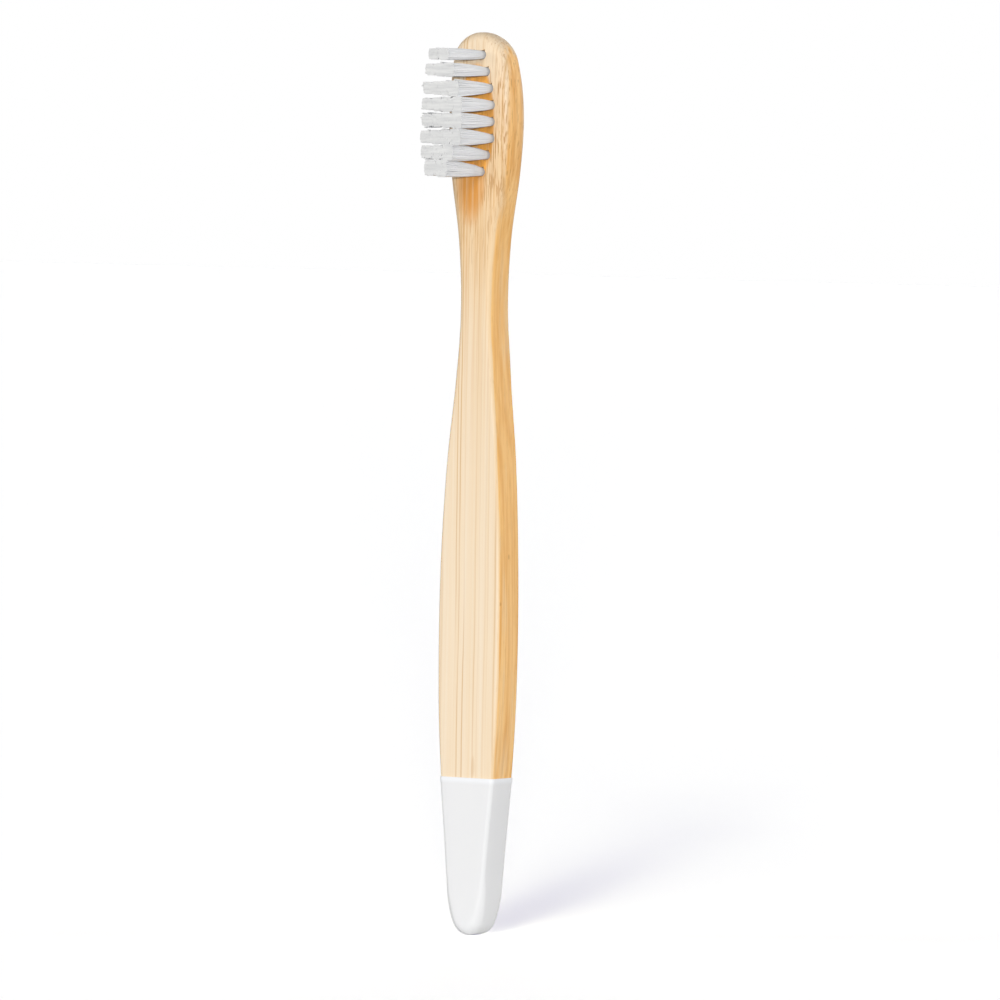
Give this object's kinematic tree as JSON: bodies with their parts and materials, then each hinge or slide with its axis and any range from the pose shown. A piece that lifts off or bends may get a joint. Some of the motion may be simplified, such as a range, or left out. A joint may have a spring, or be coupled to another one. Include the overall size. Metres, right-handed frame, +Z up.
{
  "type": "manual toothbrush",
  "caption": "Child's toothbrush with a flat waisted bamboo handle, a white dipped butt end and white nylon tufts anchored in blind holes in the head.",
  "frame": {"origin": "lowest point of the dipped butt end, on the handle's centre line", "axes": "+Z up the handle to the tip of the head, +Y out of the flat back, bristles point to -Y, +X across the handle"},
  "size_m": [0.0128, 0.0164, 0.145],
  "materials": {
    "bamboo": "sanded, fine straight grain",
    "white_lacquer": "satin lacquer dip",
    "nylon_bristles": "translucent white filament",
    "anchor_brass": "flat drawn wire"
  },
  "bodies": {
    "root": {"handle": "bamboo", "dipped_end": "white_lacquer", "tuft_1_1": "nylon_bristles", "tuft_1_2": "nylon_bristles", "tuft_2_1": "nylon_bristles", "tuft_2_2": "nylon_bristles", "tuft_2_3": "nylon_bristles", "tuft_3_1": "nylon_bristles", "tuft_3_2": "nylon_bristles", "tuft_3_3": "nylon_bristles", "tuft_3_4": "nylon_bristles", "tuft_4_1": "nylon_bristles", "tuft_4_2": "nylon_bristles", "tuft_4_3": "nylon_bristles", "tuft_4_4": "nylon_bristles", "tuft_5_1": "nylon_bristles", "tuft_5_2": "nylon_bristles", "tuft_5_3": "nylon_bristles", "tuft_5_4": "nylon_bristles", "tuft_6_1": "nylon_bristles", "tuft_6_2": "nylon_bristles", "tuft_6_3": "nylon_bristles", "tuft_6_4": "nylon_bristles", "tuft_7_1": "nylon_bristles", "tuft_7_2": "nylon_bristles", "tuft_7_3": "nylon_bristles", "tuft_8_1": "nylon_bristles", "tuft_8_2": "nylon_bristles", "anchor_1_1": "anchor_brass", "anchor_1_2": "anchor_brass", "anchor_2_1": "anchor_brass", "anchor_2_2": "anchor_brass", "anchor_2_3": "anchor_brass", "anchor_3_1": "anchor_brass", "anchor_3_2": "anchor_brass", "anchor_3_3": "anchor_brass", "anchor_3_4": "anchor_brass", "anchor_4_1": "anchor_brass", "anchor_4_2": "anchor_brass", "anchor_4_3": "anchor_brass", "anchor_4_4": "anchor_brass", "anchor_5_1": "anchor_brass", "anchor_5_2": "anchor_brass", "anchor_5_3": "anchor_brass", "anchor_5_4": "anchor_brass", "anchor_6_1": "anchor_brass", "anchor_6_2": "anchor_brass", "anchor_6_3": "anchor_brass", "anchor_6_4": "anchor_brass", "anchor_7_1": "anchor_brass", "anchor_7_2": "anchor_brass", "anchor_7_3": "anchor_brass", "anchor_8_1": "anchor_brass", "anchor_8_2": "anchor_brass"}
  },
  "joints": []
}
